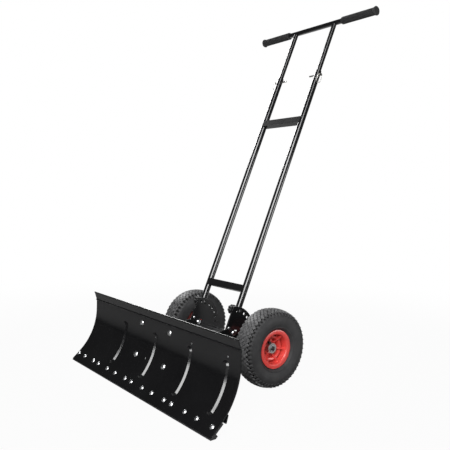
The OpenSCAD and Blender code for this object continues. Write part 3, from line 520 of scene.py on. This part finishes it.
def makeRim():
    rim = {"flangeOut": 0.0638, "flangeIn": 0.0515, "face": 0.0295, "barrel": 0.047, "bore": 0.01655,
           "step": 0.0105, "dish": -0.004, "boss": -0.0024, "inside": -0.0075,
           "turnSteps": 96, "softEdge": 0.0009, "smoothBelow": 30,
           "ribs": 6, "firstRib": 20, "ribThick": 0.0036, "ribSoft": 0.0007}
    # the dish's section, (radius, distance from the wheel's middle): outer face first, then the back
    outline = [(rim["flangeOut"], 0.0270), (rim["flangeOut"], rim["face"]), (rim["flangeIn"], rim["face"]),
               (0.0482, 0.0262), (0.0472, 0.0210), (rim["barrel"], -0.0010), (0.0418, -0.0020),
               (0.0405, rim["step"]), (0.0330, rim["step"] - 0.0015), (0.0318, rim["dish"]),
               (0.0255, rim["dish"]), (0.0250, rim["boss"]), (rim["bore"], rim["boss"]),
               (rim["bore"], -0.0120), (0.0225, -0.0120), (0.0235, -0.0070), (0.0385, -0.0070),
               (0.0440, -0.0050), (0.0468, -0.0050), (0.0465, -0.0255), (0.0520, -rim["face"]),
               (rim["flangeOut"], -rim["face"]), (rim["flangeOut"], -0.0268), (0.0530, -0.0265),
               (0.0499, -0.0235), (0.0499, 0.0235), (0.0530, 0.0265)]
    corners = [(wheelOut + x, 0, axleHeight + r) for r, x in outline]
    dish = spinOutline("rim_dish", corners, rim["turnSteps"], axlePoint, (1, 0, 0))
    bevelEdges(dish, rim["softEdge"], angle=25)
    half = rim["ribThick"] / 2
    ribOutline = [(0.0195, -0.0050), (0.0195, 0.0026), (0.0330, 0.0135), (0.0484, 0.0220),
                  (0.0484, -0.0020), (0.0368, -0.0050)]
    ribCorners = [(wheelOut + x, -half, axleHeight + r) for r, x in ribOutline]
    rib = plateFromOutline("rib", ribCorners, (0, 2 * half, 0))
    bevelEdges(rib, rim["ribSoft"])
    ribs = []
    for turn in range(rim["ribs"]):
        # counted from the bottom of the wheel
        angle = math.radians(180 + rim["firstRib"] + turn * 360 / rim["ribs"])
        ribs.append(copyPiece(rib, "rib_%d" % turn, aboutAxle(angle)))
    bpy.data.objects.remove(rib)
    whole = joinPieces([dish] + ribs, "rim_dressed_right")
    for finish in (redPaint, rimShadeRed):
        whole.data.materials.append(finish)
    # faces inboard of the dish's middle take the darkened red copy, painted shade
    for face in whole.data.polygons:
        face.material_index = int(face.center.x < wheelOut + rim["inside"])
    smoothShade(whole, rim["smoothBelow"])
    return whole


def dressWheels():
    toLeft = turnAbout(axlePoint, math.pi, "Y")
    tyre = makeTyre()
    tyreLeft = copyPiece(tyre, "tyre_dressed_left", toLeft)
    finishPiece(tyre, tyreRubber, "wheel_right", ["tyre_right"])
    finishPiece(tyreLeft, tyreRubber, "wheel_left", ["tyre_left"])
    rim = makeRim()
    rimLeft = copyPiece(rim, "rim_dressed_left", toLeft)
    finishPiece(rim, redPaint, "wheel_right", ["rim_right"])
    finishPiece(rimLeft, redPaint, "wheel_left", ["rim_left"])
    print("wheels dressed")


dressWheels()


# grips: soft sleeves with fine ridges along them and a flared end

def makeGrip():
    grip = {"radius": 0.01375, "groove": 0.0006, "ridges": 36, "inset": 0.0012, "flare": 0.016,
            "smoothBelow": 28,
            "flareSteps": ((0.006, 1.02), (0.0045, 1.08), (0.0015, 1.08), (0.0012, 1.012), (0.0016, 0.97),
                           (0.0012, 0.86)),
            "innerSteps": ((-0.0008, 0.985), (-0.0004, 0.93), (0.0, 0.715), (0.0012, 0.98))}
    low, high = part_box("grip_right")
    middle = boxMiddle("grip_right")
    length = high[0] - low[0]
    deselectAll()
    corners = 2 * grip["ridges"]
    bpy.ops.mesh.primitive_cylinder_add(vertices=corners, radius=1, depth=1, end_fill_type="NGON")
    sleeve = bpy.context.object
    for vertex in sleeve.data.vertices:
        x, y, z = vertex.co
        turn = math.atan2(y, x)
        ridge = round(turn / (math.pi / grip["ridges"])) % 2
        radius = grip["radius"] - grip["groove"] * ridge
        rise = grip["inset"] if z < 0 else length - grip["flare"]
        vertex.co = (radius * math.cos(turn), radius * math.sin(turn), rise)
    bpy.ops.object.mode_set(mode="EDIT")
    pickFaces(sleeve, lambda face: len(face.verts) > 4 and face.normal.z > 0.5)
    growFaces(grip["flareSteps"])
    pickFaces(sleeve, lambda face: len(face.verts) > 4 and face.normal.z < -0.5)
    growFaces(grip["innerSteps"])
    bpy.ops.object.mode_set(mode="OBJECT")
    alongBar = Matrix.Rotation(math.pi / 2, 4, "Y")
    sleeve.data.transform(Matrix.Translation((low[0], middle.y, middle.z)) @ alongBar)
    cleanSolid(sleeve)
    smoothShade(sleeve, grip["smoothBelow"])
    return sleeve


def dressGrips():
    grip = makeGrip()
    grip.name = "grip_dressed_right"
    middle = boxMiddle("grip_right")
    toLeft = turnAbout(Vector((0, middle.y, middle.z)), math.pi, "Y")
    gripLeft = copyPiece(grip, "grip_dressed_left", toLeft)
    finishPiece(grip, gripRubber, "handle_upper", ["grip_right"])
    finishPiece(gripLeft, gripRubber, "handle_upper", ["grip_left"])
    print("grips dressed")


# star knobs of the tilt bolts

def makeKnob():
    knob = {"lobes": 8, "lobeSteps": 12, "lobePower": 0.8, "inner": 0.0139, "outer": 0.01695,
            "bossLong": 0.006, "starLong": 0.0146, "smoothBelow": 35,
            "faceSteps": ((0.0009, 0.965), (0.0006, 0.93), (0.0, 0.72), (-0.0012, 0.93), (0.0, 0.6),
                          (0.0010, 0.9)),
            "backSteps": ((-0.0008, 0.96), (0.0, 0.62), (-0.0050, 0.97), (0.0, 0.42), (0.012, 1.0))}
    low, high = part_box("tilt_knob_right")
    middle = boxMiddle("tilt_knob_right")
    corners = knob["lobes"] * knob["lobeSteps"]
    deselectAll()
    bpy.ops.mesh.primitive_cylinder_add(vertices=corners, radius=1, depth=1, end_fill_type="NGON")
    star = bpy.context.object
    for vertex in star.data.vertices:
        x, y, z = vertex.co
        turn = math.atan2(y, x)
        wave = abs(math.cos(turn * knob["lobes"] / 2)) ** knob["lobePower"]
        radius = knob["inner"] + (knob["outer"] - knob["inner"]) * wave
        rise = knob["bossLong"] + (knob["starLong"] if z > 0 else 0)
        vertex.co = (radius * math.cos(turn), radius * math.sin(turn), rise)
    bpy.ops.object.mode_set(mode="EDIT")
    pickFaces(star, lambda face: face.normal.z > 0.5)
    growFaces(knob["faceSteps"])
    pickFaces(star, lambda face: face.normal.z < -0.5)
    growFaces(knob["backSteps"])
    bpy.ops.object.mode_set(mode="OBJECT")
    alongBolt = Matrix.Rotation(-math.pi / 2, 4, "Y")
    star.data.transform(Matrix.Translation((high[0], middle.y, middle.z)) @ alongBolt)
    cleanSolid(star)
    smoothShade(star, knob["smoothBelow"])
    return star


def dressKnobs():
    knob = makeKnob()
    knob.name = "knob_dressed_right"
    shift = boxMiddle("tilt_knob_left") - boxMiddle("tilt_knob_right")
    knobLeft = copyPiece(knob, "knob_dressed_left", Matrix.Translation(shift))
    finishPiece(knob, blackPlastic, "tilt_knob_right", ["tilt_knob_right"])
    finishPiece(knobLeft, blackPlastic, "tilt_knob_left", ["tilt_knob_left"])
    print("knobs dressed")


# side plates: the CAD form with its cut edges rounded, as ground and painted steel has
plateEdge = {"width": 0.0014, "segments": 3, "angle": 40, "flatBelow": 1, "smoothBelow": 12}


def dressPlate(node):
    plate = nodes[node].copy()
    plate.data = nodes[node].data.copy()
    plate.name = node + "_dressed"
    bpy.context.scene.collection.objects.link(plate)
    cleanSolid(plate)
    bpy.ops.object.mode_set(mode="EDIT")
    bpy.ops.mesh.select_all(action="SELECT")
    bpy.ops.mesh.dissolve_limited(angle_limit=math.radians(plateEdge["flatBelow"]))
    bpy.ops.object.mode_set(mode="OBJECT")
    bevelEdges(plate, plateEdge["width"], plateEdge["segments"], plateEdge["angle"])
    smoothShade(plate, plateEdge["smoothBelow"])
    finishPiece(plate, blackCoat, "chassis", [node])


dressGrips()
dressKnobs()
for plateNode in ("side_plate_left", "side_plate_right"):
    dressPlate(plateNode)
print("side plates dressed")


# stage: floor, world, lamps and camera

def whiteForCamera(tree, plain, white, share, behind):
    # the camera sees white, mirror-like rays only the white that lies behind the object
    path = addNode(tree, "ShaderNodeLightPath", (-800, 300))
    seen = addNode(tree, "ShaderNodeMath", (-550, 400), operation="MULTIPLY")
    seen.inputs[1].default_value = 1.0
    either = addNode(tree, "ShaderNodeMath", (-550, 200), operation="MAXIMUM")
    mirrored = addNode(tree, "ShaderNodeMath", (-350, 200), operation="MULTIPLY")
    most = addNode(tree, "ShaderNodeMath", (-150, 300), operation="MAXIMUM")
    mix = addNode(tree, "ShaderNodeMixShader", (200, 0))
    link = tree.links.new
    link(path.outputs["Is Camera Ray"], seen.inputs[0])
    if share:
        link(share, seen.inputs[1])
    link(path.outputs["Is Glossy Ray"], either.inputs[0])
    link(path.outputs["Is Transmission Ray"], either.inputs[1])
    link(either.outputs[0], mirrored.inputs[0])
    link(behind, mirrored.inputs[1])
    link(seen.outputs[0], most.inputs[0])
    link(mirrored.outputs[0], most.inputs[1])
    link(most.outputs[0], mix.inputs[0])
    link(plain.outputs[0], mix.inputs[1])
    link(white.outputs[0], mix.inputs[2])
    return mix


def backdropShare(tree, turn, edge, socket):
    # 1 towards the backdrop behind the object, 0 towards the dark side of the studio
    coords = addNode(tree, "ShaderNodeTexCoord", (-1500, 0))
    level = addNode(tree, "ShaderNodeVectorMath", (-1300, 0), operation="NORMALIZE")
    facing = addNode(tree, "ShaderNodeVectorMath", (-1100, 0), operation="DOT_PRODUCT")
    facing.inputs[1].default_value = (-math.sin(math.radians(turn)), math.cos(math.radians(turn)), 0)
    ramp = addNode(tree, "ShaderNodeMapRange", (-900, 0), interpolation_type="SMOOTHSTEP")
    ramp.inputs["From Min"].default_value = edge[0]
    ramp.inputs["From Max"].default_value = edge[1]
    tree.links.new(coords.outputs[socket], level.inputs[0])
    tree.links.new(level.outputs["Vector"], facing.inputs[0])
    tree.links.new(facing.outputs["Value"], ramp.inputs["Value"])
    return ramp.outputs["Result"]


def farShare(tree, near, far, share):
    # how white the floor looks: a little of its own shade near the object, none far off
    coords = addNode(tree, "ShaderNodeTexCoord", (-1500, 500))
    distance = addNode(tree, "ShaderNodeVectorMath", (-1300, 500), operation="LENGTH")
    ramp = addNode(tree, "ShaderNodeMapRange", (-1100, 500), interpolation_type="SMOOTHSTEP")
    ramp.inputs["From Min"].default_value = near
    ramp.inputs["From Max"].default_value = far
    ramp.inputs["To Min"].default_value = share
    tree.links.new(coords.outputs["Object"], distance.inputs[0])
    tree.links.new(distance.outputs["Value"], ramp.inputs["Value"])
    return ramp.outputs["Result"]


def makeStage():
    stage = {"floorHalf": 60.0, "floorDrop": 0.0005, "floorShade": 0.22, "floorWhite": 0.96,
             "floorFade": (0.9, 2.4), "worldLevel": 0.05, "backdropTurn": 52, "backdropEdge": (0.78, 0.97)}
    deselectAll()
    bpy.ops.mesh.primitive_plane_add(size=2 * stage["floorHalf"], location=(0, 0, -stage["floorDrop"]))
    floor = bpy.context.object
    floor.name = "studio_floor"
    paper = bpy.data.materials.new("studio floor")
    paper.use_nodes = True
    tree = paper.node_tree
    tree.nodes.remove(tree.nodes["Principled BSDF"])
    plain = addNode(tree, "ShaderNodeBsdfDiffuse", (-100, 0), Color=(stage["floorShade"],) * 3 + (1,))
    white = addNode(tree, "ShaderNodeEmission", (-100, -200), Color=(1, 1, 1, 1), Strength=1.0)
    share = farShare(tree, *stage["floorFade"], stage["floorWhite"])
    behind = backdropShare(tree, stage["backdropTurn"], stage["backdropEdge"], "Object")
    mix = whiteForCamera(tree, plain, white, share, behind)
    tree.links.new(mix.outputs[0], tree.nodes["Material Output"].inputs["Surface"])
    floor.data.materials.append(paper)
    world = bpy.data.worlds.new("studio")
    bpy.context.scene.world = world
    world.use_nodes = True
    tree = world.node_tree
    plain = tree.nodes["Background"]
    plain.inputs["Color"].default_value = (1, 1, 1, 1)
    plain.inputs["Strength"].default_value = stage["worldLevel"]
    white = addNode(tree, "ShaderNodeBackground", (-100, -200), Color=(1, 1, 1, 1), Strength=1.0)
    behind = backdropShare(tree, stage["backdropTurn"], stage["backdropEdge"], "Generated")
    mix = whiteForCamera(tree, plain, white, None, behind)
    tree.links.new(mix.outputs[0], tree.nodes["World Output"].inputs["Surface"])


def makeLamp(name, place, target, size, power):
    deselectAll()
    bpy.ops.object.light_add(type="AREA", location=place)
    lamp = bpy.context.object
    lamp.name = name
    lamp.data.shape = "RECTANGLE"
    lamp.data.size, lamp.data.size_y = size
    lamp.data.energy = power
    lamp.rotation_euler = (Vector(target) - Vector(place)).to_track_quat("-Z", "Y").to_euler()


def makeCamera():
    shot = {"lens": 45.27, "place": (1.5656, -1.26, 0.6292), "turn": 51.86, "down": 3.04, "roll": 1.09}
    turn, down, roll = (math.radians(shot[key]) for key in ("turn", "down", "roll"))
    ahead = Vector((-math.sin(turn) * math.cos(down), math.cos(turn) * math.cos(down), -math.sin(down)))
    right = Vector((math.cos(turn), math.sin(turn), 0))
    up = right.cross(ahead)
    rightRolled = right * math.cos(roll) + up * math.sin(roll)
    upRolled = up * math.cos(roll) - right * math.sin(roll)
    deselectAll()
    bpy.ops.object.camera_add()
    camera = bpy.context.object
    camera.data.lens = shot["lens"]
    camera.data.sensor_width = 36
    axes = Matrix((rightRolled, upRolled, -ahead)).transposed()
    camera.matrix_world = Matrix.Translation(shot["place"]) @ axes.to_4x4()
    bpy.context.scene.camera = camera


makeStage()
# place, point aimed at, width and height, watts
lamps = {"softbox_key": ((1.55, -2.1, 1.6), (0.2, -0.3, 0.25), (1.1, 2.7), 112),
         "softbox_edge": ((-2.6, 0.35, 2.2), (0.1, -0.2, 0.3), (0.6, 1.2), 45),
         "softbox_side": ((2.3, 1.75, 0.5), (0.2, 0, 0.2), (1.3, 0.9), 22),
         "softbox_front": ((2.1, -1.1, 2.3), (0.1, 0.2, 0.8), (0.5, 2.6), 36)}
for lampName, settings in lamps.items():
    makeLamp(lampName, *settings)
makeCamera()
bpy.context.scene.view_settings.view_transform = "Standard"
print("stage ready")
